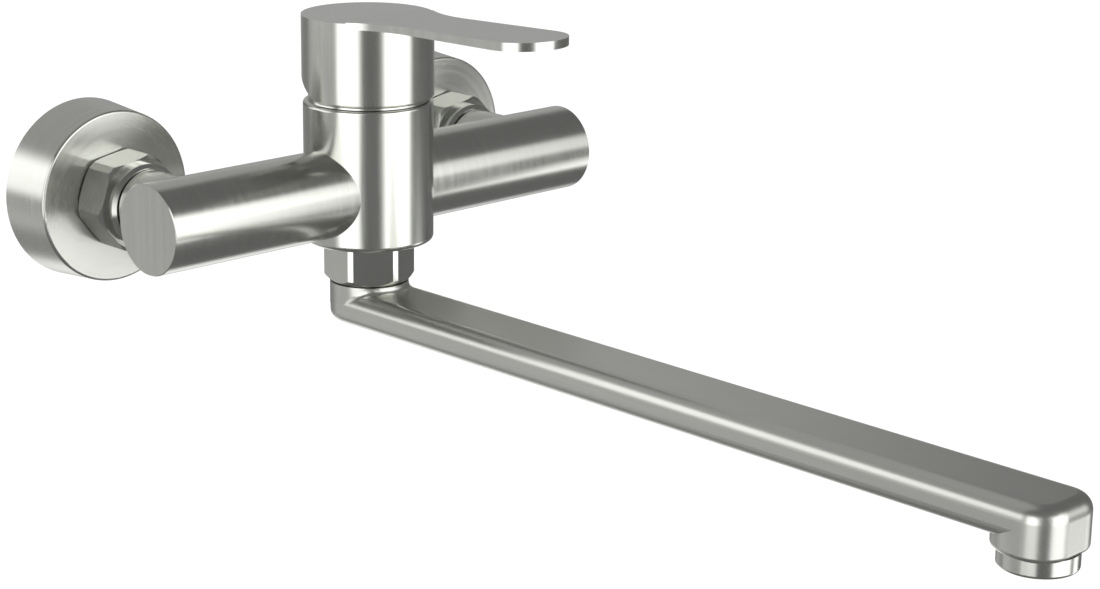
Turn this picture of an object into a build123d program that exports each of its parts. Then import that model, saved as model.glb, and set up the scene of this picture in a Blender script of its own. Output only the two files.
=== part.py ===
from build123d import *
import os
from math import radians, tan

os.makedirs("parts", exist_ok=True)

# Wall-mounted bath mixer, in millimetres. The wall is the plane y = 0 and the mixer stands out
# from it towards -Y. The origin is midway between the two wall inlets; +X runs along the arms.

# Connection to the wall
inlet_spacing = 150.0
wall_thread_radius = 10.48      # G 1/2 outside thread
wall_thread_length = 15.0
wall_thread_chamfer = 0.6
wall_bore_radius = 7.0
union_offset = 8.0              # arm axis above the wall inlets
union_shoulder_radius = 12.4
union_shoulder_thickness = 3.0
union_thread_radius = 13.22     # G 3/4 outside thread
union_bend_depth = 12.0         # where the straight G 3/4 end begins, from the wall
union_face_depth = 26.0         # sealing face of the union, from the wall
union_bore_radius = 8.5
gasket_thickness = 2.0
gasket_width = 3.6

# Wall rosettes
rosette_depth = 20.0
rosette_face_radius = 29.7
rosette_rim_radius = 31.2
rosette_wall = 1.2
rosette_edge_round = 0.9
rosette_hole_gap = 0.4

# Union nuts and inlet tails
union_nut_flats = 30.6
union_nut_turned_radius = 16.9
union_nut_gap = 0.6             # rosette face to nut
union_nut_hex_length = 13.6
union_nut_end_radius = 15.6     # hexagon's turned ends
union_nut_turned_run = 1.0
union_nut_collar_radius = 14.2
union_nut_collar_length = 4.2
union_nut_collar_chamfer = 1.2
union_nut_turn = 10.0
tail_flange_thickness = 3.0
tail_radius = 10.2
tail_bore_radius = 7.5
tail_gap = 0.5                  # nut collar to inlet boss
inlet_boss_radius = 12.5

# Mixer body with its two arms
wall_to_axis = 65.2
arm_radius = 15.4
arms_length = 189.7
arm_wall = 2.8
arm_inner_wall = 4.0            # between an arm's bore and the cartridge bore
end_disc_thickness = 2.0
end_disc_chamfer = 0.25
end_spigot_length = 4.0
body_radius = 22.7
body_rise = 31.05               # body top above the arm axis
body_drop = 18.9                # body bottom below the arm axis
body_bottom_round = 1.8
body_top_round = 1.3
feed_radius = 3.2
feed_drop = 4.2
outlet_feed_radius = 3.4

# Ceramic cartridge
cartridge_radius = 17.4
cartridge_wall = 1.9
cartridge_spare = 0.15
seat_height = 2.0               # cartridge seat above the arm axis
base_thickness = 5.0
seal_height = 1.5
seal_width = 1.1
port_radius = 3.0
port_side = 5.0
port_front = 5.0
port_back = 5.6
fixed_disc_thickness = 3.0
moving_disc_thickness = 2.95
moving_disc_radius = 11.0
mixing_recess_depth = 1.4
mixing_recess_width = 10.4
mixing_recess_front = 1.4
mixing_recess_back = 8.6
carrier_thickness = 5.0
carrier_socket_depth = 3.9
rotor_flange_thickness = 4.6
rotor_neck_radius = 12.7
rotor_rise = 0.5                # rotor top above the body top
rotor_slot_front = 7.2
rotor_slot_back = 6.0
housing_lip_thickness = 2.0
stem_width = 7.0
stem_tip_radius = 2.2
stem_shaft_radius = 2.0
stem_tip_drop = 10.0            # stem tip centre below the tilt axis
stem_block_drop = 6.0
stem_rise = 25.0                # stem top above the tilt axis
stem_top_chamfer = 0.5
pin_radius = 1.6
pin_length = 23.0
tilt_axis_drop = 4.0            # tilt axis below the body top
retaining_nut_radius = 18.9
retaining_nut_rise = 1.0        # nut top above the body top
retaining_nut_spare = 0.7
retaining_nut_notches = 6
retaining_nut_notch_width = 4.0
retaining_nut_notch_depth = 1.6

# Dome cover and handle
dome_radius = 21.5              # sphere about the tilt axis
dome_wall = 1.3
dome_height = 8.0
cap_radius = 23.0
cap_gap = 0.8                   # body top to cap
cap_height = 29.1
cap_wall = 1.4
cap_roof = 4.4
cap_bottom_chamfer = 1.0
cap_relief_angle = 28.0
lever_reach = 92.0              # lever tip from the mixer axis
lever_waist = 13.7              # half width at its narrowest
lever_tip_radius = 14.8
lever_blend_radius = 44.0
lever_rise_angle = 1.9
lever_root_thickness = 2.3
lever_tip_thickness = 2.9
socket_boss_radius = 8.0
socket_boss_length = 15.5
socket_end_gap = 1.0
grub_screw_radius = 2.0
grub_screw_length = 6.0
grub_screw_key = 2.0
grub_screw_key_depth = 2.5
grub_screw_height = 19.0        # above the tilt axis
plug_radius = 2.6
plug_length = 2.0

# Spout connection
outlet_nipple_radius = 13.2
outlet_nipple_length = 8.0
spout_tube_radius = 9.3
spout_tube_bore = 5.6
spout_tube_rise = 7.0           # tube top above the body bottom
outlet_bore_rise = 9.0          # outlet bore top above the body bottom
oring_section = 1.2
oring_pitch = 5.0
oring_groove_spare = 0.1
glide_washer_thickness = 1.2
glide_washer_radius = 12.8
snap_ring_radius = 11.4
snap_ring_thickness = 1.5
snap_ring_seat = 8.0
snap_ring_mouth = 3.0
spout_nut_flats = 28.5
spout_nut_turned_radius = 15.87
spout_nut_length = 14.55
spout_nut_chamfer = 2.1
spout_nut_turn = 24.8
spout_nut_top_gap = 0.15

# Spout
spout_reach = 286.8             # mixer axis to outlet axis
spout_width = 27.7
spout_thickness = 11.8
spout_top_round = 4.8
spout_bottom_round = 4.0
spout_neck_step = 0.1           # neck proud of the bar's sides
spout_neck_height = 2.6
spout_neck_blend = 2.4
spout_channel_width = 18.0
spout_channel_height = 7.0
spout_tip = 12.2                # outlet axis to the spout's front face
spout_tip_corner = 9.5
outlet_boss_drop = 4.4
outlet_boss_round = 1.6

# Aerator
aerator_thread_radius = 10.6
aerator_thread_length = 5.6
aerator_collar_radius = 11.9
aerator_collar_height = 5.4
aerator_collar_round = 0.9
aerator_wall = 1.3
aerator_lip_width = 0.9
aerator_lip_height = 1.2
aerator_gasket_thickness = 1.6
aerator_gasket_width = 2.0
screen_thickness = 0.8
jet_radius = 0.8
jet_pitch = 2.5
jet_rings = 3

# Clearances
fit_gap = 0.02                  # pieces fixed together
running_gap = 0.06              # shafts and discs that turn or slide on each other
moving_gap = 0.35               # pieces that pass each other without touching

# Places that follow from the sizes above, as heights over the arm axis or depths from the wall
half_spacing = inlet_spacing / 2
half_arms = arms_length / 2
arm_height = union_offset
tilt_height = body_rise - tilt_axis_drop
base_top = seat_height + base_thickness
fixed_disc_top = base_top + fixed_disc_thickness
moving_disc_bottom = fixed_disc_top + running_gap
carrier_bottom = moving_disc_bottom + moving_disc_thickness
carrier_top = carrier_bottom + carrier_thickness
rotor_bottom = carrier_top + moving_gap
rotor_shoulder = rotor_bottom + rotor_flange_thickness
housing_lip = rotor_shoulder + moving_gap
housing_top = housing_lip + housing_lip_thickness
housing_bore_radius = cartridge_radius - cartridge_wall
cartridge_bore_radius = cartridge_radius + cartridge_spare
cap_bottom = body_rise + cap_gap
cap_top = cap_bottom + cap_height
cap_ceiling = cap_top - cap_roof
union_nut_start = rosette_depth + union_nut_gap
union_nut_collar_start = union_nut_start + union_nut_hex_length
union_nut_end = union_nut_collar_start + union_nut_collar_length
tail_start = union_face_depth + gasket_thickness
tail_neck_start = tail_start + tail_flange_thickness
inlet_boss_start = union_nut_end + tail_gap
arm_bore_radius = arm_radius - arm_wall
arm_bore_end = cartridge_bore_radius + arm_inner_wall
arm_end = half_arms - end_disc_thickness
nipple_bottom = -body_drop - outlet_nipple_length
washer_top = nipple_bottom - fit_gap
washer_bottom = washer_top - glide_washer_thickness
snap_ring_top = washer_bottom - moving_gap
snap_ring_bottom = snap_ring_top - snap_ring_thickness
nut_lip_top = snap_ring_bottom - moving_gap
spout_nut_bottom = -body_drop - spout_nut_length
neck_top = spout_nut_bottom - moving_gap
spout_top = neck_top - spout_neck_height
spout_bottom = spout_top - spout_thickness
spout_middle = (spout_top + spout_bottom) / 2
spout_tube_top = -body_drop + spout_tube_rise
outlet_bore_radius = spout_tube_radius + running_gap
oring_radius = outlet_bore_radius - running_gap - oring_section
boss_bottom = spout_bottom - outlet_boss_drop
aerator_bore_radius = aerator_thread_radius - aerator_wall
aerator_thread_top = boss_bottom + aerator_thread_length
aerator_seat = aerator_thread_top + aerator_gasket_thickness
screen_bottom = aerator_thread_top - screen_thickness
insert_bottom = boss_bottom - aerator_collar_height + aerator_lip_height
port_places = [(-port_side, -port_front), (port_side, -port_front), (0, port_back)]


def level(height, forward=0.0):
    """Horizontal plane at a height over the arm axis, centred on the mixer axis or in front of it."""
    return Plane((0, -wall_to_axis - forward, arm_height + height))


def station(x, depth, height=arm_height):
    """Upright plane facing the room, at a depth in front of the wall."""
    return Plane(origin=(x, -depth, height), x_dir=(1, 0, 0), z_dir=(0, -1, 0))


def inlet_section(x):
    """Upright plane through an inlet axis; its first coordinate is the depth from the wall."""
    return Plane(origin=(x, 0, arm_height), x_dir=(0, -1, 0), z_dir=(-1, 0, 0))


def inlet_axis(x):
    return Axis((x, 0, arm_height), (0, -1, 0))


def arm_plane(x, forward=0.0, height=0.0):
    """Plane across the arms at x, facing the middle of the mixer."""
    return Plane(
        origin=(x, -wall_to_axis - forward, arm_height + height),
        x_dir=(0, 1, 0),
        z_dir=(-1 if x > 0 else 1, 0, 0),
    )


side_view = Plane(origin=(0, -wall_to_axis, arm_height), x_dir=(0, -1, 0), z_dir=(-1, 0, 0))
front_view = Plane(origin=(0, -wall_to_axis, arm_height), x_dir=(1, 0, 0), z_dir=(0, -1, 0))
mixer_axis = Axis((0, -wall_to_axis, arm_height), (0, 0, 1))
tilt_plane = Plane(
    origin=(0, -wall_to_axis, arm_height + tilt_height), x_dir=(0, -1, 0), z_dir=(-1, 0, 0)
)
grub_plane = Plane(
    origin=(0, -wall_to_axis, arm_height + tilt_height + grub_screw_height),
    x_dir=(1, 0, 0),
    z_dir=(0, 1, 0),
)


def save(part, name):
    part.label = name
    export_step(part, f"parts/{name}.step")


def outlet(height):
    """Horizontal plane on the outlet axis, at a height over the arm axis."""
    return level(height, spout_reach)


# --- one set of wall pieces for each inlet ---
for side, x in (("left", -half_spacing), ("right", half_spacing)):
    # eccentric union: the wall end sits below the axis of the mixer's end
    with BuildPart() as s_union:
        with BuildSketch(station(x, -wall_thread_length, 0)):
            Circle(wall_thread_radius)
        extrude(amount=wall_thread_length)
        chamfer(s_union.edges().sort_by(Axis.Y)[-1], length=wall_thread_chamfer)
        with BuildSketch(station(x, 0, 0)):
            Circle(union_shoulder_radius)
        extrude(amount=union_shoulder_thickness)
        with BuildSketch(station(x, union_shoulder_thickness, 0)):
            Circle(union_shoulder_radius)
        with BuildSketch(station(x, union_bend_depth)):
            Circle(union_thread_radius)
        loft()
        with BuildSketch(station(x, union_bend_depth)):
            Circle(union_thread_radius)
        extrude(amount=union_face_depth - union_bend_depth)
        with BuildSketch(station(x, -wall_thread_length, 0)):
            Circle(wall_bore_radius)
        extrude(amount=wall_thread_length + union_shoulder_thickness, mode=Mode.SUBTRACT)
        with BuildSketch(station(x, union_shoulder_thickness, 0)):
            Circle(wall_bore_radius)
        with BuildSketch(station(x, union_bend_depth)):
            Circle(union_bore_radius)
        loft(mode=Mode.SUBTRACT)
        with BuildSketch(station(x, union_bend_depth)):
            Circle(union_bore_radius)
        extrude(amount=union_face_depth - union_bend_depth, mode=Mode.SUBTRACT)
    save(s_union.part, f"s_union_{side}")

    with BuildPart() as union_gasket:
        with BuildSketch(station(x, union_face_depth)):
            Circle(union_bore_radius + gasket_width)
            Circle(union_bore_radius, mode=Mode.SUBTRACT)
        extrude(amount=gasket_thickness)
    save(union_gasket.part, f"union_gasket_{side}")

    # tail with a flange that the union nut pulls against the gasket
    with BuildPart() as inlet_tail:
        with BuildSketch(station(x, tail_start)):
            Circle(union_thread_radius - moving_gap)
        extrude(amount=tail_flange_thickness)
        with BuildSketch(station(x, tail_neck_start)):
            Circle(tail_radius)
        extrude(amount=wall_to_axis - arm_bore_radius - tail_neck_start)
        with BuildSketch(station(x, tail_start)):
            Circle(tail_bore_radius)
        extrude(until=Until.LAST, mode=Mode.SUBTRACT)
    save(inlet_tail.part, f"inlet_tail_{side}")

    # hexagon nut with its corners turned round, and a collar towards the arm
    with BuildPart() as union_nut:
        with BuildSketch(station(x, union_nut_start)):
            RegularPolygon(union_nut_flats / 2, 6, major_radius=False, rotation=union_nut_turn)
        extrude(amount=union_nut_hex_length)
        with BuildSketch(inlet_section(x)):
            with BuildLine():
                Polyline(
                    (union_nut_start, 0),
                    (union_nut_start, union_nut_end_radius),
                    (union_nut_start + union_nut_turned_run, union_nut_turned_radius),
                    (union_nut_collar_start - union_nut_turned_run, union_nut_turned_radius),
                    (union_nut_collar_start, union_nut_end_radius),
                    (union_nut_collar_start, 0),
                    close=True,
                )
            make_face()
        revolve(axis=inlet_axis(x), mode=Mode.INTERSECT)
        with BuildSketch(station(x, union_nut_collar_start)):
            Circle(union_nut_collar_radius)
        extrude(amount=union_nut_collar_length)
        chamfer(union_nut.edges().sort_by(Axis.Y)[0], length=union_nut_collar_chamfer)
        with BuildSketch(station(x, union_nut_start)):
            Circle(union_thread_radius + fit_gap)
        extrude(amount=tail_neck_start + fit_gap - union_nut_start, mode=Mode.SUBTRACT)
        with BuildSketch(station(x, union_nut_start)):
            Circle(tail_radius + moving_gap)
        extrude(until=Until.LAST, mode=Mode.SUBTRACT)
    save(union_nut.part, f"union_nut_{side}")

    # drawn cup, open towards the wall
    with BuildPart() as rosette:
        with BuildSketch(station(x, 0)):
            Circle(rosette_rim_radius)
        with BuildSketch(station(x, rosette_depth)):
            Circle(rosette_face_radius)
        loft()
        fillet(rosette.edges().sort_by(Axis.Y)[0], radius=rosette_edge_round)
        with BuildSketch(station(x, 0)):
            Circle(rosette_rim_radius - rosette_wall)
        with BuildSketch(station(x, rosette_depth - rosette_wall)):
            Circle(rosette_face_radius - rosette_wall)
        loft(mode=Mode.SUBTRACT)
        with BuildSketch(station(x, 0)):
            Circle(union_thread_radius + rosette_hole_gap)
        extrude(amount=rosette_depth, mode=Mode.SUBTRACT)
    save(rosette.part, f"rosette_{side}")

    # disc that closes the bored end of an arm
    end = 1 if x > 0 else -1
    with BuildPart() as arm_end_disc:
        with BuildSketch(arm_plane(end * half_arms)):
            Circle(arm_radius)
        extrude(amount=end_disc_thickness)
        chamfer(arm_end_disc.edges().sort_by(Axis.X)[-1 if x > 0 else 0], length=end_disc_chamfer)
        with BuildSketch(arm_plane(end * arm_end)):
            Circle(arm_bore_radius - fit_gap)
        extrude(amount=end_spigot_length)
    save(arm_end_disc.part, f"arm_end_{side}")

# --- body: upright cylinder with two arms, bored for the cartridge, the feeds and the spout ---
with BuildPart() as mixer_body:
    with BuildSketch(level(-body_drop)):
        Circle(body_radius)
    extrude(amount=body_rise + body_drop)
    fillet(mixer_body.edges().sort_by(Axis.Z)[0], radius=body_bottom_round)
    fillet(mixer_body.edges().sort_by(Axis.Z)[-1], radius=body_top_round)
    with BuildSketch(arm_plane(-arm_end)):
        Circle(arm_radius)
    extrude(amount=2 * arm_end)
    for x in (-half_spacing, half_spacing):
        with BuildSketch(station(x, inlet_boss_start)):
            Circle(inlet_boss_radius)
        extrude(amount=wall_to_axis - inlet_boss_start)
    for end in (-1, 1):
        with BuildSketch(arm_plane(end * arm_end)):
            Circle(arm_bore_radius)
        extrude(amount=arm_end - arm_bore_end, mode=Mode.SUBTRACT)
        with BuildSketch(station(end * half_spacing, inlet_boss_start)):
            Circle(tail_radius + fit_gap)
        extrude(amount=wall_to_axis - inlet_boss_start, mode=Mode.SUBTRACT)
        # feed from the arm to the cartridge seat
        with BuildSketch(arm_plane(end * arm_bore_end, port_front, -feed_drop)):
            Circle(feed_radius)
        extrude(amount=arm_bore_end - port_side, mode=Mode.SUBTRACT)
        with BuildSketch(level(-feed_drop)):
            with Locations((end * port_side, -port_front)):
                Circle(feed_radius)
        extrude(amount=seat_height + feed_drop, mode=Mode.SUBTRACT)
    with BuildSketch(level(seat_height)):
        Circle(cartridge_bore_radius)
    extrude(amount=body_rise - seat_height, mode=Mode.SUBTRACT)
    with BuildSketch(level(housing_top)):
        Circle(retaining_nut_radius + fit_gap)
    extrude(amount=body_rise - housing_top, mode=Mode.SUBTRACT)
    with BuildSketch(level(nipple_bottom)):
        Circle(outlet_nipple_radius)
    extrude(amount=outlet_nipple_length)
    with BuildSketch(level(nipple_bottom)):
        Circle(outlet_bore_radius)
    extrude(amount=outlet_nipple_length + outlet_bore_rise, mode=Mode.SUBTRACT)
    with BuildSketch(level(outlet_bore_rise - body_drop)):
        with Locations((0, port_back)):
            Circle(outlet_feed_radius)
    extrude(amount=body_drop - outlet_bore_rise + seat_height, mode=Mode.SUBTRACT)
save(mixer_body.part, "mixer_body")

# --- cartridge ---
with BuildPart() as cartridge_base:
    with BuildSketch(level(seat_height)):
        Circle(cartridge_radius)
        with Locations(*port_places):
            Circle(port_radius, mode=Mode.SUBTRACT)
    extrude(amount=base_thickness)
    with BuildSketch(level(seat_height)):
        with Locations(*port_places):
            Circle(port_radius + seal_width + fit_gap)
    extrude(amount=seal_height + fit_gap, mode=Mode.SUBTRACT)
save(cartridge_base.part, "cartridge_base")

with BuildPart() as port_seals:
    with BuildSketch(level(seat_height)):
        with Locations(*port_places):
            Circle(port_radius + seal_width)
        with Locations(*port_places):
            Circle(port_radius, mode=Mode.SUBTRACT)
    extrude(amount=seal_height)
save(port_seals.part, "port_seals")

with BuildPart() as fixed_disc:
    with BuildSketch(level(base_top)):
        Circle(housing_bore_radius - fit_gap)
        with Locations(*port_places):
            Circle(port_radius, mode=Mode.SUBTRACT)
    extrude(amount=fixed_disc_thickness)
save(fixed_disc.part, "fixed_ceramic_disc")

with BuildPart() as cartridge_housing:
    with BuildSketch(level(base_top)):
        Circle(cartridge_radius)
    extrude(amount=housing_top - base_top)
    with BuildSketch(level(base_top)):
        Circle(housing_bore_radius)
    extrude(amount=housing_lip - base_top, mode=Mode.SUBTRACT)
    with BuildSketch(level(base_top)):
        Circle(rotor_neck_radius + moving_gap)
    extrude(until=Until.LAST, mode=Mode.SUBTRACT)
save(cartridge_housing.part, "cartridge_housing")

# disc with a recess underneath that joins the inlets to the outlet as it slides forward
with BuildPart() as moving_disc:
    with BuildSketch(level(moving_disc_bottom)):
        Circle(moving_disc_radius)
    extrude(amount=moving_disc_thickness)
    recess_length = mixing_recess_front + mixing_recess_back
    with BuildSketch(level(moving_disc_bottom)):
        with Locations((0, (mixing_recess_back - mixing_recess_front) / 2)):
            RectangleRounded(mixing_recess_width, recess_length, port_radius)
    extrude(amount=mixing_recess_depth, mode=Mode.SUBTRACT)
save(moving_disc.part, "moving_ceramic_disc")

with BuildPart() as disc_carrier:
    with BuildSketch(level(carrier_bottom)):
        Circle(moving_disc_radius)
    extrude(amount=carrier_thickness)
    with BuildSketch(level(carrier_top)):
        Circle(stem_tip_radius + moving_gap)
    extrude(amount=-carrier_socket_depth, mode=Mode.SUBTRACT)
save(disc_carrier.part, "disc_carrier")

with BuildPart() as rotor:
    with BuildSketch(level(rotor_bottom)):
        Circle(housing_bore_radius - moving_gap)
    extrude(amount=rotor_flange_thickness)
    with BuildSketch(level(rotor_shoulder)):
        Circle(rotor_neck_radius)
    extrude(amount=body_rise + rotor_rise - rotor_shoulder)
    with BuildSketch(level(rotor_bottom)):
        with Locations((0, (rotor_slot_back - rotor_slot_front) / 2)):
            Rectangle(stem_width + 2 * moving_gap, rotor_slot_front + rotor_slot_back)
    extrude(until=Until.LAST, mode=Mode.SUBTRACT)
    with BuildSketch(tilt_plane):
        Circle(pin_radius + fit_gap)
    extrude(amount=pin_length / 2, both=True, mode=Mode.SUBTRACT)
save(rotor.part, "rotor")

with BuildPart() as stem_pin:
    with BuildSketch(tilt_plane):
        Circle(pin_radius)
    extrude(amount=pin_length / 2, both=True)
save(stem_pin.part, "stem_pin")

with BuildPart() as stem:
    with BuildSketch(level(tilt_height - stem_block_drop)):
        Rectangle(stem_width, stem_width)
    extrude(amount=stem_block_drop + stem_rise)
    chamfer(stem.faces().sort_by(Axis.Z)[-1].edges(), length=stem_top_chamfer)
    with BuildSketch(level(tilt_height - stem_tip_drop)):
        Circle(stem_shaft_radius)
    extrude(amount=stem_tip_drop - stem_block_drop)
    with Locations(level(tilt_height - stem_tip_drop)):
        Sphere(stem_tip_radius)
    with BuildSketch(tilt_plane):
        Circle(pin_radius + running_gap)
    extrude(amount=stem_width, both=True, mode=Mode.SUBTRACT)
save(stem.part, "stem")

with BuildPart() as retaining_nut:
    with BuildSketch(level(housing_top)):
        Circle(retaining_nut_radius)
        Circle(rotor_neck_radius + retaining_nut_spare, mode=Mode.SUBTRACT)
    extrude(amount=body_rise + retaining_nut_rise - housing_top)
    with BuildSketch(level(body_rise + retaining_nut_rise)):
        with PolarLocations(rotor_neck_radius + retaining_nut_spare, retaining_nut_notches):
            Rectangle(2 * retaining_nut_notch_depth, retaining_nut_notch_width)
    extrude(amount=-retaining_nut_rise - retaining_nut_notch_depth, mode=Mode.SUBTRACT)
save(retaining_nut.part, "retaining_nut")

# --- dome cover under the handle ---
with BuildPart() as dome_cover:
    with Locations(level(tilt_height)):
        Sphere(dome_radius)
        Sphere(dome_radius - dome_wall, mode=Mode.SUBTRACT)
    split(bisect_by=level(body_rise), keep=Keep.TOP)
    split(bisect_by=level(body_rise + dome_height), keep=Keep.BOTTOM)
save(dome_cover.part, "dome_cover")

# --- handle: hollow cap with a flat lever that leaves the cap on hollow blends ---
blend_centre_side = lever_waist + lever_blend_radius
blend_centre_front = ((cap_radius + lever_blend_radius) ** 2 - blend_centre_side**2) ** 0.5
blend_share = cap_radius / (cap_radius + lever_blend_radius)
blend_start = (blend_centre_side * blend_share, -blend_centre_front * blend_share)
lever_tip_centre = lever_reach - lever_tip_radius
lever_rise = lever_reach * tan(radians(lever_rise_angle))

with BuildPart() as lever:
    with BuildSketch(level(cap_bottom)):
        with BuildLine():
            Polyline((-blend_start[0], blend_start[1]), (0, 0), (blend_start[0], blend_start[1]))
            RadiusArc(
                (blend_start[0], blend_start[1]), (lever_waist, -blend_centre_front), -lever_blend_radius
            )
            Line((lever_waist, -blend_centre_front), (lever_tip_radius, -lever_tip_centre))
            ThreePointArc(
                (lever_tip_radius, -lever_tip_centre),
                (0, -lever_reach),
                (-lever_tip_radius, -lever_tip_centre),
            )
            Line((-lever_tip_radius, -lever_tip_centre), (-lever_waist, -blend_centre_front))
            RadiusArc(
                (-lever_waist, -blend_centre_front), (-blend_start[0], blend_start[1]), -lever_blend_radius
            )
        make_face()
    extrude(amount=cap_height + 2 * lever_rise)
    with BuildSketch(side_view):
        with BuildLine():
            Polyline(
                (0, cap_top - lever_root_thickness),
                (0, cap_top),
                (lever_reach, cap_top + lever_rise),
                (lever_reach, cap_top + lever_rise - lever_tip_thickness),
                close=True,
            )
        make_face()
    extrude(amount=cap_radius, both=True, mode=Mode.INTERSECT)

with BuildPart() as handle:
    with BuildSketch(level(cap_bottom)):
        Circle(cap_radius)
    extrude(amount=cap_height)
    chamfer(handle.edges().sort_by(Axis.Z)[0], length=cap_bottom_chamfer)
    add(lever.part)
    with BuildSketch(level(cap_bottom)):
        Circle(cap_radius - cap_wall)
    extrude(amount=cap_height - cap_roof, mode=Mode.SUBTRACT)
    # relief that lets the back of the cap drop as the lever is lifted
    relief_depth = 2 * cap_radius * tan(radians(cap_relief_angle))
    with BuildSketch(side_view):
        with BuildLine():
            Polyline(
                (0, cap_bottom),
                (-2 * cap_radius, cap_bottom + relief_depth),
                (-2 * cap_radius, cap_bottom - relief_depth),
                (0, cap_bottom - relief_depth),
                close=True,
            )
        make_face()
    extrude(amount=2 * cap_radius, both=True, mode=Mode.SUBTRACT)
    with BuildSketch(level(cap_ceiling - socket_boss_length)):
        Circle(socket_boss_radius)
    extrude(amount=socket_boss_length)
    with BuildSketch(level(cap_ceiling - socket_boss_length)):
        Rectangle(stem_width + 2 * fit_gap, stem_width + 2 * fit_gap)
    extrude(
        amount=tilt_height + stem_rise + socket_end_gap - cap_ceiling + socket_boss_length,
        mode=Mode.SUBTRACT,
    )
    with BuildSketch(grub_plane):
        Circle(grub_screw_radius + fit_gap)
    extrude(amount=socket_boss_radius + 1, mode=Mode.SUBTRACT)
    with BuildSketch(grub_plane.offset(cap_radius - 2 * cap_wall)):
        Circle(plug_radius + fit_gap)
    extrude(amount=3 * cap_wall, mode=Mode.SUBTRACT)
save(handle.part, "handle")

with BuildPart() as grub_screw:
    with BuildSketch(grub_plane.offset(stem_width / 2 + fit_gap)):
        Circle(grub_screw_radius)
    extrude(amount=grub_screw_length)
    with BuildSketch(grub_plane.offset(stem_width / 2 + fit_gap + grub_screw_length)):
        RegularPolygon(grub_screw_key / 2, 6, major_radius=False)
    extrude(amount=-grub_screw_key_depth, mode=Mode.SUBTRACT)
save(grub_screw.part, "grub_screw")

with BuildPart() as screw_plug:
    with BuildSketch(grub_plane.offset(cap_radius - plug_length)):
        Circle(plug_radius)
    extrude(amount=plug_length)
save(screw_plug.part, "screw_plug")

# --- spout connection under the body ---
with BuildPart() as spout_nut:
    nut_top = -body_drop - spout_nut_top_gap
    with BuildSketch(level(spout_nut_bottom)):
        RegularPolygon(spout_nut_flats / 2, 6, major_radius=False, rotation=spout_nut_turn)
    extrude(amount=nut_top - spout_nut_bottom)
    with BuildSketch(front_view):
        with BuildLine():
            Polyline(
                (0, spout_nut_bottom),
                (spout_nut_turned_radius - spout_nut_chamfer, spout_nut_bottom),
                (spout_nut_turned_radius, spout_nut_bottom + spout_nut_chamfer),
                (spout_nut_turned_radius, nut_top),
                (0, nut_top),
                close=True,
            )
        make_face()
    revolve(axis=mixer_axis, mode=Mode.INTERSECT)
    with BuildSketch(level(nut_lip_top)):
        Circle(outlet_nipple_radius + fit_gap)
    extrude(amount=nut_top - nut_lip_top, mode=Mode.SUBTRACT)
    with BuildSketch(level(spout_nut_bottom)):
        Circle(spout_tube_radius + moving_gap)
    extrude(until=Until.LAST, mode=Mode.SUBTRACT)
save(spout_nut.part, "spout_nut")

with BuildPart() as glide_washer:
    with BuildSketch(level(washer_bottom)):
        Circle(glide_washer_radius)
        Circle(spout_tube_radius + moving_gap, mode=Mode.SUBTRACT)
    extrude(amount=glide_washer_thickness)
save(glide_washer.part, "glide_washer")

# split ring that the spout hangs from
with BuildPart() as snap_ring:
    with BuildSketch(level(snap_ring_bottom)):
        Circle(snap_ring_radius)
        Circle(snap_ring_seat + fit_gap, mode=Mode.SUBTRACT)
        with Locations((0, snap_ring_radius)):
            Rectangle(snap_ring_mouth, 2 * (snap_ring_radius - snap_ring_seat) + 2, mode=Mode.SUBTRACT)
    extrude(amount=snap_ring_thickness)
save(snap_ring.part, "snap_ring")

oring_heights = [spout_tube_top - oring_pitch * 0.6, spout_tube_top - oring_pitch * 1.6]
for place, height in zip(("upper", "lower"), oring_heights):
    with BuildPart() as oring:
        with Locations(level(height)):
            Torus(oring_radius, oring_section)
    save(oring.part, f"spout_oring_{place}")

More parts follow.
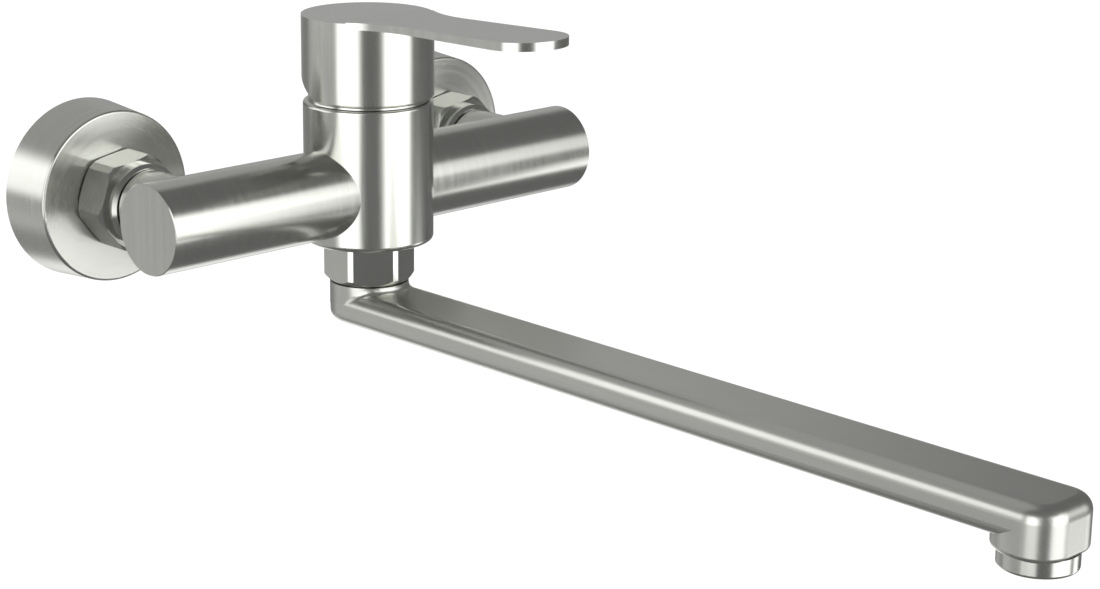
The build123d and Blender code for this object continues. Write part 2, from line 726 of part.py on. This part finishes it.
# --- spout: flat bar with rounded edges, a round neck and an outlet boss ---
with BuildPart() as spout:
    with BuildSketch(level(spout_bottom)) as bar_plan:
        with BuildLine():
            ThreePointArc((spout_width / 2, 0), (0, spout_width / 2), (-spout_width / 2, 0))
            Polyline(
                (-spout_width / 2, 0),
                (-spout_width / 2, -spout_reach - spout_tip),
                (spout_width / 2, -spout_reach - spout_tip),
                (spout_width / 2, 0),
            )
        make_face()
        fillet(bar_plan.vertices().group_by(Axis.Y)[0], radius=spout_tip_corner)
    extrude(amount=spout_thickness)
    fillet(spout.faces().sort_by(Axis.Z)[-1].edges(), radius=spout_top_round)
    fillet(spout.faces().sort_by(Axis.Z)[0].edges(), radius=spout_bottom_round)
    # boss with a round back, whose front goes on down from the bar's end
    with BuildSketch(outlet(boss_bottom)) as boss_plan:
        with BuildLine():
            ThreePointArc((spout_width / 2, 0), (0, spout_width / 2), (-spout_width / 2, 0))
            Polyline(
                (-spout_width / 2, 0),
                (-spout_width / 2, -spout_tip),
                (spout_width / 2, -spout_tip),
                (spout_width / 2, 0),
            )
        make_face()
        fillet(boss_plan.vertices().group_by(Axis.Y)[0], radius=spout_tip_corner)
    extrude(amount=outlet_boss_drop + spout_thickness / 2)
    fillet(spout.edges().group_by(Axis.Z)[0], radius=outlet_boss_round)
    with BuildSketch(level(spout_middle)):
        Circle(spout_width / 2 + spout_neck_step)
    extrude(amount=neck_top - spout_middle)
    front_of_neck = spout.edges().filter_by_position(
        Axis.Y, -wall_to_axis - 0.6 * spout_width, -wall_to_axis - 1, inclusive=(False, False)
    )
    neck_edges = front_of_neck.filter_by_position(
        Axis.Z, arm_height + spout_middle, arm_height + spout_top, inclusive=(True, True)
    )
    fillet(neck_edges, radius=spout_neck_blend)
    # tube that turns in the outlet bore
    with BuildSketch(level(neck_top)):
        Circle(spout_tube_radius)
    extrude(amount=spout_tube_top - neck_top)
    with BuildSketch(front_view):
        for height in oring_heights:
            with Locations((oring_radius, height)):
                Rectangle(
                    oring_section + fit_gap,
                    2 * (oring_section + oring_groove_spare),
                    align=(Align.MAX, Align.CENTER),
                )
                Rectangle(
                    spout_tube_radius,
                    2 * (oring_section + oring_groove_spare),
                    align=(Align.MIN, Align.CENTER),
                )
        with Locations((snap_ring_seat, snap_ring_bottom - fit_gap)):
            Rectangle(
                spout_tube_radius,
                snap_ring_thickness + 2 * fit_gap,
                align=(Align.MIN, Align.MIN),
            )
    revolve(axis=mixer_axis, mode=Mode.SUBTRACT)
    # waterway: down the tube, along the bar and out at the aerator
    with BuildSketch(level(spout_middle)):
        Circle(spout_tube_bore)
    extrude(amount=spout_tube_top - spout_middle, mode=Mode.SUBTRACT)
    with BuildSketch(front_view.offset(-spout_tube_bore)):
        with Locations((0, spout_middle)):
            RectangleRounded(spout_channel_width, spout_channel_height, spout_channel_height / 3)
    extrude(amount=spout_tube_bore + spout_reach + spout_channel_width / 2, mode=Mode.SUBTRACT)
    with BuildSketch(outlet(boss_bottom)):
        Circle(aerator_thread_radius + fit_gap)
    extrude(amount=aerator_seat - boss_bottom, mode=Mode.SUBTRACT)
    with BuildSketch(outlet(boss_bottom)):
        Circle(aerator_thread_radius - aerator_gasket_width)
    extrude(amount=spout_middle - boss_bottom, mode=Mode.SUBTRACT)
save(spout.part, "spout")

# --- aerator ---
with BuildPart() as aerator_gasket:
    with BuildSketch(outlet(aerator_thread_top)):
        Circle(aerator_thread_radius)
        Circle(aerator_thread_radius - aerator_gasket_width, mode=Mode.SUBTRACT)
    extrude(amount=aerator_gasket_thickness)
save(aerator_gasket.part, "aerator_gasket")

with BuildPart() as aerator_collar:
    with BuildSketch(outlet(boss_bottom - fit_gap)):
        Circle(aerator_collar_radius)
    extrude(amount=-aerator_collar_height)
    fillet(aerator_collar.edges().sort_by(Axis.Z)[0], radius=aerator_collar_round)
    with BuildSketch(outlet(boss_bottom - fit_gap)):
        Circle(aerator_thread_radius)
    extrude(amount=aerator_thread_length)
    with BuildSketch(outlet(insert_bottom)):
        Circle(aerator_bore_radius)
    extrude(until=Until.LAST, mode=Mode.SUBTRACT)
    with BuildSketch(outlet(insert_bottom)):
        Circle(aerator_bore_radius - aerator_lip_width)
    extrude(amount=-aerator_lip_height - fit_gap, mode=Mode.SUBTRACT)
save(aerator_collar.part, "aerator_collar")

# insert with rings of jets, and a screen with the same pattern above it
with BuildSketch() as jets:
    Circle(jet_radius)
    for ring in range(1, jet_rings + 1):
        with PolarLocations(ring * jet_pitch, 6 * ring):
            Circle(jet_radius)

with BuildPart() as aerator_insert:
    with BuildSketch(outlet(insert_bottom)):
        Circle(aerator_bore_radius - fit_gap)
        add(jets.sketch, mode=Mode.SUBTRACT)
    extrude(amount=screen_bottom - insert_bottom)
save(aerator_insert.part, "aerator_insert")

with BuildPart() as aerator_screen:
    with BuildSketch(outlet(screen_bottom)):
        Circle(aerator_bore_radius - fit_gap)
        add(jets.sketch, mode=Mode.SUBTRACT)
    extrude(amount=screen_thickness - fit_gap)
save(aerator_screen.part, "aerator_screen")
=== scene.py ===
import math

import bpy
from mathutils import Matrix, Vector


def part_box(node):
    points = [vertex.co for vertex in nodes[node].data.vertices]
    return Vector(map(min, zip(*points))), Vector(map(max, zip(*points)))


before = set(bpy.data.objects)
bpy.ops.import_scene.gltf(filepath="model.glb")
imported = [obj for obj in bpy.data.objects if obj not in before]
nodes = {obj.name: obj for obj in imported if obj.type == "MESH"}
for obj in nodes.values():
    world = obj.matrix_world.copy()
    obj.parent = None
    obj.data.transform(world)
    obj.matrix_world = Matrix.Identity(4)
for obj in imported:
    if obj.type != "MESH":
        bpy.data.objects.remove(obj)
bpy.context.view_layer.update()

# The mixer's own lines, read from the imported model
body_low, body_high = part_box("mixer_body")
cap_low, cap_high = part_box("handle")
rosette_low, rosette_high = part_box("rosette_right")
cap_overhang = 0.0003
body_radius = (cap_high.x - cap_low.x) / 2 - cap_overhang
mixer_axis = Vector(((cap_low.x + cap_high.x) / 2, (body_low.y + body_high.y) / 2, 0))
rosette_centre = Vector(
    ((rosette_low.x + rosette_high.x) / 2, 0, (rosette_low.z + rosette_high.z) / 2)
)


# ---------------------------------------------------------------- material tools


def new_material(name):
    material = bpy.data.materials.new(name)
    material.use_nodes = True
    tree = material.node_tree
    tree.nodes.clear()
    output = tree.nodes.new("ShaderNodeOutputMaterial")
    shader = tree.nodes.new("ShaderNodeBsdfPrincipled")
    tree.links.new(shader.outputs["BSDF"], output.inputs["Surface"])
    return material, tree, shader


def mapped(tree, scale=(1, 1, 1), centre=(0, 0, 0)):
    """Object coordinates, moved to a centre and then stretched."""
    coords = tree.nodes.new("ShaderNodeTexCoord")
    mapping = tree.nodes.new("ShaderNodeMapping")
    mapping.vector_type = "POINT"
    mapping.inputs["Scale"].default_value = scale
    mapping.inputs["Location"].default_value = [-c * s for c, s in zip(centre, scale)]
    tree.links.new(coords.outputs["Object"], mapping.inputs["Vector"])
    return mapping.outputs["Vector"]


def split(tree, vector):
    parts = tree.nodes.new("ShaderNodeSeparateXYZ")
    tree.links.new(vector, parts.inputs["Vector"])
    return parts.outputs


def joined(tree, x, y, z):
    whole = tree.nodes.new("ShaderNodeCombineXYZ")
    for value, socket in zip((x, y, z), whole.inputs):
        tree.links.new(value, socket)
    return whole.outputs[0]


def math_node(tree, operation, a, b=None):
    node = tree.nodes.new("ShaderNodeMath")
    node.operation = operation
    for socket, value in zip(node.inputs, (a, b)):
        if value is None:
            continue
        if isinstance(value, (int, float)):
            socket.default_value = value
        else:
            tree.links.new(value, socket)
    return node.outputs[0]


def reach_from_axis(tree, a, b):
    """How far a point stands from an axis, from its two distances square to it."""
    squares = [math_node(tree, "MULTIPLY", value, value) for value in (a, b)]
    return math_node(tree, "SQRT", math_node(tree, "ADD", *squares))


def noise(tree, vector, scale, detail=3.0, rough=0.6):
    node = tree.nodes.new("ShaderNodeTexNoise")
    node.inputs["Scale"].default_value = scale
    node.inputs["Detail"].default_value = detail
    node.inputs["Roughness"].default_value = rough
    tree.links.new(vector, node.inputs["Vector"])
    return node.outputs["Fac"]


def spread(tree, value, low, high, from_low=0.3, from_high=0.7):
    node = tree.nodes.new("ShaderNodeMapRange")
    node.inputs["From Min"].default_value = from_low
    node.inputs["From Max"].default_value = from_high
    node.inputs["To Min"].default_value = low
    node.inputs["To Max"].default_value = high
    tree.links.new(value, node.inputs["Value"])
    return node.outputs[0]


def tinted(tree, value, dark, light):
    ramp = tree.nodes.new("ShaderNodeValToRGB")
    ramp.color_ramp.elements[0].position = 0.25
    ramp.color_ramp.elements[0].color = (*dark, 1)
    ramp.color_ramp.elements[1].position = 0.75
    ramp.color_ramp.elements[1].color = (*light, 1)
    tree.links.new(value, ramp.inputs["Fac"])
    return ramp.outputs["Color"]


def bump(tree, height, strength, distance):
    node = tree.nodes.new("ShaderNodeBump")
    node.inputs["Strength"].default_value = strength
    node.inputs["Distance"].default_value = distance
    tree.links.new(height, node.inputs["Height"])
    return node.outputs["Normal"]


# ---------------------------------------------------------------- steel

STEEL_DARK = (0.578, 0.586, 0.545)
STEEL_LIGHT = (0.650, 0.657, 0.616)
# How tightly the brush lines are packed along X, Y and Z: low along the stroke, high across it
ACROSS_RINGS = 2600
ALONG_RINGS = 45
UPRIGHT = (2600, 2600, 45)
ROUND_X = (2600, 70, 70)
ALONG_Y = (2400, 40, 2400)
NUT_GRAIN = (900, 900, 160)
SCREEN_GRAIN = (3200, 900, 900)
BRUSH_DEPTH = 0.00002


def brush_lines(tree, vector):
    """Fine brush lines with broader bands between them, from 0 to 1."""
    fine = noise(tree, vector, 1.0, 4.0, 0.75)
    broad = noise(tree, vector, 0.16, 2.0, 0.5)
    return math_node(
        tree,
        "ADD",
        math_node(tree, "MULTIPLY", fine, 0.55),
        math_node(tree, "MULTIPLY", broad, 0.45),
    )


def steel_finish(tree, shader, lines, roughness, relief=0.04):
    """Satin steel: the lines change its tint, its roughness and, a little, its surface."""
    cloud = noise(tree, mapped(tree), 45.0, 3.0, 0.55)
    tree.links.new(tinted(tree, lines, STEEL_DARK, STEEL_LIGHT), shader.inputs["Base Color"])
    rough = math_node(
        tree,
        "ADD",
        spread(tree, lines, roughness - 0.03, roughness + 0.03),
        spread(tree, cloud, -0.012, 0.018),
    )
    tree.links.new(rough, shader.inputs["Roughness"])
    tree.links.new(bump(tree, lines, relief, BRUSH_DEPTH), shader.inputs["Normal"])
    shader.inputs["Metallic"].default_value = 1.0


def brushed_steel(name, grain, roughness=0.21, relief=0.05):
    material, tree, shader = new_material(name)
    steel_finish(tree, shader, brush_lines(tree, mapped(tree, grain)), roughness, relief)
    return material


def body_steel():
    """Lines run up the mixer body and round the two arms that stand out of it."""
    material, tree, shader = new_material("brushed_steel_body")
    upright = brush_lines(tree, mapped(tree, UPRIGHT))
    around = brush_lines(tree, mapped(tree, ROUND_X))
    x, y, _ = split(tree, mapped(tree, centre=mixer_axis))
    arm_start, arm_full = body_radius + 0.0001, body_radius + 0.0006
    on_arm = spread(tree, reach_from_axis(tree, x, y), 0.0, 1.0, arm_start, arm_full)
    blend = tree.nodes.new("ShaderNodeMix")
    tree.links.new(on_arm, blend.inputs[0])
    tree.links.new(upright, blend.inputs[2])
    tree.links.new(around, blend.inputs[3])
    steel_finish(tree, shader, blend.outputs[0], 0.21, 0.07)
    return material


def turned_steel(name, roughness, anisotropy):
    """Steel brushed in circles round an axis square to the wall, the same on both sides."""
    material, tree, shader = new_material(name)
    x, y, z = split(tree, mapped(tree))
    own_axis = math_node(tree, "MULTIPLY", math_node(tree, "SIGN", x), rosette_centre.x)
    across = math_node(tree, "SUBTRACT", x, own_axis)
    up = math_node(tree, "SUBTRACT", z, rosette_centre.z)
    radius = reach_from_axis(tree, across, up)
    rings = joined(
        tree,
        math_node(tree, "MULTIPLY", radius, ACROSS_RINGS),
        math_node(tree, "MULTIPLY", y, ACROSS_RINGS),
        math_node(tree, "MULTIPLY", across, ALONG_RINGS),
    )
    steel_finish(tree, shader, brush_lines(tree, rings), roughness)
    # Highlights stretch out from the middle on the face, and along the axis on the rim
    tree.links.new(joined(tree, across, radius, up), shader.inputs["Tangent"])
    shader.inputs["Anisotropic"].default_value = anisotropy
    return material


# ---------------------------------------------------------------- brass, rubber, ceramic, plastic


def cast_brass():
    """Raw brass with a dull film and brighter rubbed patches."""
    material, tree, shader = new_material("raw_brass")
    film = noise(tree, mapped(tree), 160.0, 6.0, 0.6)
    turned = noise(tree, mapped(tree, (300, 5200, 300)), 1.0, 2.0, 0.5)
    tint = tinted(tree, film, (0.36, 0.24, 0.09), (0.66, 0.47, 0.19))
    tree.links.new(tint, shader.inputs["Base Color"])
    rough = math_node(
        tree, "ADD", spread(tree, film, 0.44, 0.28), spread(tree, turned, -0.03, 0.05)
    )
    tree.links.new(rough, shader.inputs["Roughness"])
    tree.links.new(bump(tree, turned, 0.1, 0.00003), shader.inputs["Normal"])
    shader.inputs["Metallic"].default_value = 1.0
    return material


def dull_finish(tree, shader, colour, grain, roughness, relief, depth):
    """The colour has its own pattern, and the grain sets the roughness and the surface."""
    tree.links.new(colour, shader.inputs["Base Color"])
    tree.links.new(spread(tree, grain, *roughness), shader.inputs["Roughness"])
    tree.links.new(bump(tree, grain, relief, depth), shader.inputs["Normal"])


def seal_rubber():
    """Black moulded rubber with a faint dusty bloom."""
    material, tree, shader = new_material("seal_rubber")
    bloom = noise(tree, mapped(tree), 420.0, 5.0, 0.65)
    colour = tinted(tree, bloom, (0.012, 0.012, 0.013), (0.045, 0.044, 0.042))
    dull_finish(tree, shader, colour, bloom, (0.48, 0.7), 0.15, 0.00003)
    return material


def alumina():
    """Lapped white ceramic with faint warm clouds."""
    material, tree, shader = new_material("alumina_ceramic")
    cloud = noise(tree, mapped(tree), 210.0, 4.0, 0.5)
    colour = tinted(tree, cloud, (0.80, 0.79, 0.75), (0.90, 0.89, 0.87))
    dull_finish(tree, shader, colour, cloud, (0.12, 0.24), 0.05, 0.00001)
    return material


def moulded_plastic(name, dark, light, roughness):
    """Moulded plastic with a fine spark-eroded grain."""
    material, tree, shader = new_material(name)
    grain = noise(tree, mapped(tree), 1900.0, 3.0, 0.6)
    flow = noise(tree, mapped(tree), 90.0, 3.0, 0.5)
    dull_finish(tree, shader, tinted(tree, flow, dark, light), grain, roughness, 0.12, 0.00003)
    return material


# ---------------------------------------------------------------- finishes on the pieces

steel_body = body_steel()
steel_upright = brushed_steel("brushed_steel_upright", UPRIGHT)
steel_spout = brushed_steel("brushed_steel_spout", ALONG_Y, 0.31, 0.012)
steel_rosette = turned_steel("turned_steel_rosettes", 0.25, 0.7)
steel_nuts = brushed_steel("polished_steel_nuts", NUT_GRAIN, 0.15, 0.02)

FINISHES = {
    "brushed_steel": steel_upright,
    "polished_steel": steel_nuts,
    "brass": cast_brass(),
    "seal_rubber": seal_rubber(),
    "ceramic": alumina(),
    "cartridge_plastic": moulded_plastic(
        "grey_cartridge_plastic", (0.17, 0.18, 0.19), (0.24, 0.25, 0.26), (0.38, 0.52)
    ),
    "white_plastic": moulded_plastic(
        "white_acetal", (0.74, 0.74, 0.71), (0.83, 0.83, 0.80), (0.3, 0.45)
    ),
    "screen_steel": brushed_steel("woven_screen_steel", SCREEN_GRAIN, 0.3, 0.1),
}
for node in nodes.values():
    for material_slot in node.material_slots:
        slot_name = material_slot.material.name.split(".")[0]
        material_slot.material = FINISHES.get(slot_name, steel_nuts)


def finish_nodes(material, *names):
    for name in names:
        for material_slot in nodes[name].material_slots:
            material_slot.material = material


finish_nodes(steel_body, "mixer_body")
finish_nodes(steel_upright, "handle", "dome_cover", "aerator_collar")
finish_nodes(steel_spout, "spout")
finish_nodes(steel_rosette, "rosette_left", "rosette_right")


# ---------------------------------------------------------------- floor and room light

FLOOR_SIZE = 12
FLOOR_HEIGHT = -0.6
ROOM_STRENGTH = 1.16

bpy.ops.object.select_all(action="DESELECT")
bpy.ops.mesh.primitive_plane_add(size=1)
floor = bpy.context.object
floor.name = "studio_floor"
floor.data.transform(
    Matrix.Translation((0, 0, FLOOR_HEIGHT)) @ Matrix.Diagonal((FLOOR_SIZE, FLOOR_SIZE, 1, 1))
)
floor_material, floor_tree, floor_shader = new_material("studio_floor_paint")
floor_tint = tinted(
    floor_tree, noise(floor_tree, mapped(floor_tree), 3.0), (0.95, 0.95, 0.95), (0.97, 0.97, 0.97)
)
floor_tree.links.new(floor_tint, floor_shader.inputs["Base Color"])
floor_shader.inputs["Roughness"].default_value = 0.9
floor.data.materials.append(floor_material)
floor.visible_glossy = False

# The room light reaches the floor and the dull pieces. The metal sees the light tent instead.
world = bpy.data.worlds.new("studio_room")
bpy.context.scene.world = world
world.use_nodes = True
room_light = world.node_tree.nodes["Background"]
room_light.inputs["Color"].default_value = (1, 1, 1, 1)
room_light.inputs["Strength"].default_value = ROOM_STRENGTH
world.cycles_visibility.glossy = False


# ---------------------------------------------------------------- light tent

TENT_RADIUS = 3
TENT_DIM_CLOTH = 0.17
# azimuth, height, half width, half height, blur, all in degrees, then strength
TENT_PATCHES = (
    (-164, 6, 20, 27, 4, 2.0),
    (-78.5, 4, 25.5, 28, 4, 2.0),
    (-46, 14, 9, 12, 4, 0.9),
    (-31, -25, 10, 8, 3, 1.9),
    (137, 11, 24, 15, 5, 1.45),
    (90, 50, 57, 36, 7, 0.27),
    (48, 4, 26, 13, 9, 0.24),
    (84, -8, 26, 6, 6, 0.1),
    (144, -18, 36, 14, 6, 0.3),
    (58, -42, 28, 12, 10, 1.1),
    (100, -34, 40, 16, 10, 0.2),
)


def lit_patch(tree, position, azimuth, height, half_width, half_height, blur, strength):
    """A soft-edged patch of the tent, centred on a compass direction and a height."""
    turned = tree.nodes.new("ShaderNodeVectorRotate")
    turned.rotation_type = "Z_AXIS"
    turned.inputs["Angle"].default_value = math.radians(-azimuth)
    tree.links.new(position, turned.inputs["Vector"])
    x, y, z = split(tree, turned.outputs["Vector"])
    across = math_node(tree, "ABSOLUTE", math_node(tree, "ARCTAN2", y, x))
    level = math_node(tree, "ARCSINE", z)
    up = math_node(tree, "ABSOLUTE", math_node(tree, "SUBTRACT", level, math.radians(height)))
    masks = []
    for angle, half in ((across, half_width), (up, half_height)):
        edge = tree.nodes.new("ShaderNodeMapRange")
        edge.interpolation_type = "SMOOTHSTEP"
        edge.inputs["From Min"].default_value = math.radians(half - blur)
        edge.inputs["From Max"].default_value = math.radians(half + blur)
        edge.inputs["To Min"].default_value = 1
        edge.inputs["To Max"].default_value = 0
        tree.links.new(angle, edge.inputs["Value"])
        masks.append(edge.outputs[0])
    return math_node(tree, "MULTIPLY", math_node(tree, "MULTIPLY", *masks), strength)


bpy.ops.object.select_all(action="DESELECT")
bpy.ops.mesh.primitive_uv_sphere_add(segments=64, ring_count=32, radius=TENT_RADIUS)
tent = bpy.context.object
tent.name = "light_tent"
tent_material = bpy.data.materials.new("light_tent_cloth")
tent_material.use_nodes = True
tent_tree = tent_material.node_tree
tent_tree.nodes.clear()
tent_output = tent_tree.nodes.new("ShaderNodeOutputMaterial")
tent_glow = tent_tree.nodes.new("ShaderNodeEmission")
tent_tree.links.new(tent_glow.outputs[0], tent_output.inputs["Surface"])
tent_direction = tent_tree.nodes.new("ShaderNodeVectorMath")
tent_direction.operation = "NORMALIZE"
tent_tree.links.new(mapped(tent_tree), tent_direction.inputs[0])
tent_level = TENT_DIM_CLOTH
for patch in TENT_PATCHES:
    patch_glow = lit_patch(tent_tree, tent_direction.outputs[0], *patch)
    tent_level = math_node(tent_tree, "ADD", patch_glow, tent_level)
tent_tree.links.new(tent_level, tent_glow.inputs["Strength"])
tent.data.materials.append(tent_material)
tent_material.cycles.emission_sampling = "NONE"
tent.visible_camera = False
tent.visible_diffuse = False
tent.visible_shadow = False


# ---------------------------------------------------------------- camera

CAMERA_AZIMUTH = math.radians(-44.816)
CAMERA_HEIGHT = math.radians(15.878)
CAMERA_ROLL = math.radians(0.769)
CAMERA_LENS = 84.2
CAMERA_DISTANCE = 0.889959
AIM_POINT = Vector((0, -0.1, -0.032))
AIM_RIGHT = 0.039678
AIM_UP = 0.007255

back = Vector(
    (
        math.sin(CAMERA_AZIMUTH) * math.cos(CAMERA_HEIGHT),
        -math.cos(CAMERA_AZIMUTH) * math.cos(CAMERA_HEIGHT),
        math.sin(CAMERA_HEIGHT),
    )
)
level = Vector((math.cos(CAMERA_AZIMUTH), math.sin(CAMERA_AZIMUTH), 0))
upward = back.cross(level)
camera_right = level * math.cos(CAMERA_ROLL) + upward * math.sin(CAMERA_ROLL)
camera_up = upward * math.cos(CAMERA_ROLL) - level * math.sin(CAMERA_ROLL)
camera_data = bpy.data.cameras.new("studio_camera")
camera_data.lens = CAMERA_LENS
camera_data.sensor_width = 36
camera_data.clip_start = 0.01
camera = bpy.data.objects.new("studio_camera", camera_data)
bpy.context.scene.collection.objects.link(camera)
camera_place = (
    AIM_POINT + AIM_RIGHT * camera_right + AIM_UP * camera_up + CAMERA_DISTANCE * back
)
camera_turn = Matrix((camera_right, camera_up, back)).transposed().to_4x4()
camera.matrix_world = Matrix.Translation(camera_place) @ camera_turn
bpy.context.scene.camera = camera
bpy.context.scene.view_settings.view_transform = "Standard"
